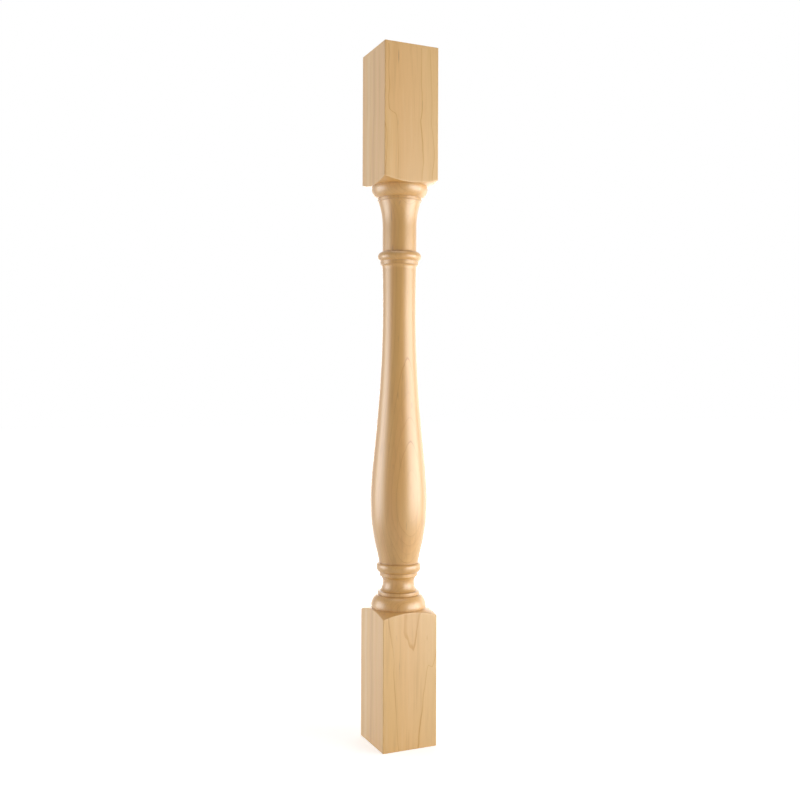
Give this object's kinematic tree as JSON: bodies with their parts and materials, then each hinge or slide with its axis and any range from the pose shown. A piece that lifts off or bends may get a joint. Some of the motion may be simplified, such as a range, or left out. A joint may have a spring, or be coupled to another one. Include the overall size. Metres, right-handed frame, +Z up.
{
  "type": "newel post",
  "caption": "Turned timber newel post: square block at the foot and the head, with base mouldings, a long vase, a beaded collar, a neck and a flared capital turned between them.",
  "frame": {"origin": "centre of the post's underside", "axes": "+Z up along the post's axis; the four flat sides of the square blocks face +X, -X, +Y and -Y"},
  "size_m": [0.0888, 0.0888, 1.0668],
  "materials": {
    "timber": "bare pale close-grained timber, turned and sanded smooth, with a soft sheen"
  },
  "bodies": {
    "root": {"post": "timber"}
  },
  "joints": []
}
